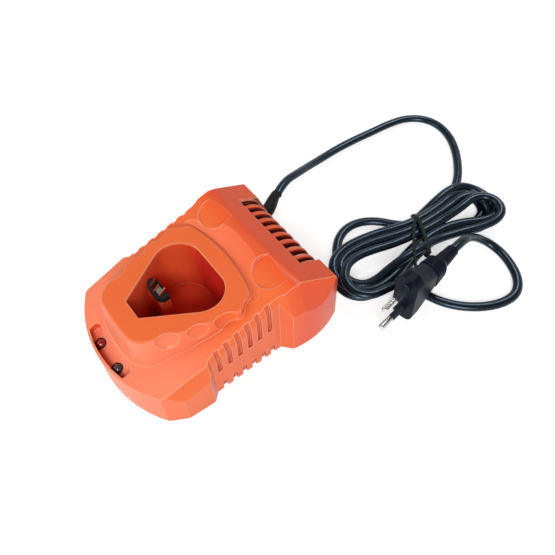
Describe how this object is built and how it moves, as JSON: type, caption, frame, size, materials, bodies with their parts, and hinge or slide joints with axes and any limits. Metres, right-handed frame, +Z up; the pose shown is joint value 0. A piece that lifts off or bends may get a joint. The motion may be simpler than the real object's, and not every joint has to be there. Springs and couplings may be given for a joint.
{
  "type": "power tool battery charger",
  "caption": "Desk-top charger for stick battery packs: orange moulded housing with a deep battery well, rear vent, indicator lights and a bundled mains cord with plug.",
  "frame": {"origin": "on the table, under the middle of the housing (bottom centre of its box without the cord)", "axes": "+X to the right seen from the LED end, -Y towards the LED end (front), +Z up"},
  "size_m": [0.1568, 0.278, 0.0525],
  "materials": {
    "housing": "satin moulded ABS",
    "feet": "matt",
    "screw_steel": "zinc plated",
    "board": "solder mask",
    "ferrite": "ferrite",
    "bobbin": "moulded",
    "winding_tape": "polyester tape",
    "can_sleeve": "PVC sleeve",
    "package": "moulded epoxy",
    "fuse_glass": "glass tube with plated caps",
    "sink_aluminium": "extruded",
    "block_black": "moulded",
    "copper": "stamped copper alloy",
    "block_grey": "moulded",
    "led_red": "tinted epoxy",
    "led_green": "tinted epoxy",
    "collar": "moulded",
    "cord_black": "soft PVC",
    "clamp": "moulded",
    "wire": "PVC",
    "tie": "plastic ribbon",
    "plug_black": "moulded PVC",
    "pin_metal": "nickel plated brass",
    "pin_sleeve": "moulded"
  },
  "bodies": {
    "root": {"board_screws": "screw_steel", "bridge_rectifier": "package", "case_screws": "screw_steel", "circuit_board": "board", "clamp_screws": "screw_steel", "controller_chip": "package", "cord_clamp": "clamp", "cord_hank": "cord_black", "hank_loop_cord": "cord_black", "hank_tie": "tie", "heat_sink": "sink_aluminium", "inner_cord": "cord_black", "input_capacitor": "can_sleeve", "input_wires": "wire", "led_collars": "collar", "led_green": "led_green", "led_red": "led_red", "lower_housing": "housing", "mains_cord": "cord_black", "mains_fuse": "fuse_glass", "negative_terminal": "copper", "output_capacitors": "can_sleeve", "plug_body": "plug_black", "plug_loop_cord": "cord_black", "plug_pins": "pin_metal", "plug_sleeves": "pin_sleeve", "positive_terminal": "copper", "power_transistor": "package", "rubber_feet": "feet", "sensor_terminal": "copper", "strain_relief": "cord_black", "terminal_block": "block_black", "terminal_bridge": "block_grey", "transformer_bobbin": "bobbin", "transformer_core": "ferrite", "transformer_winding": "winding_tape", "upper_housing": "housing"}
  },
  "joints": []
}
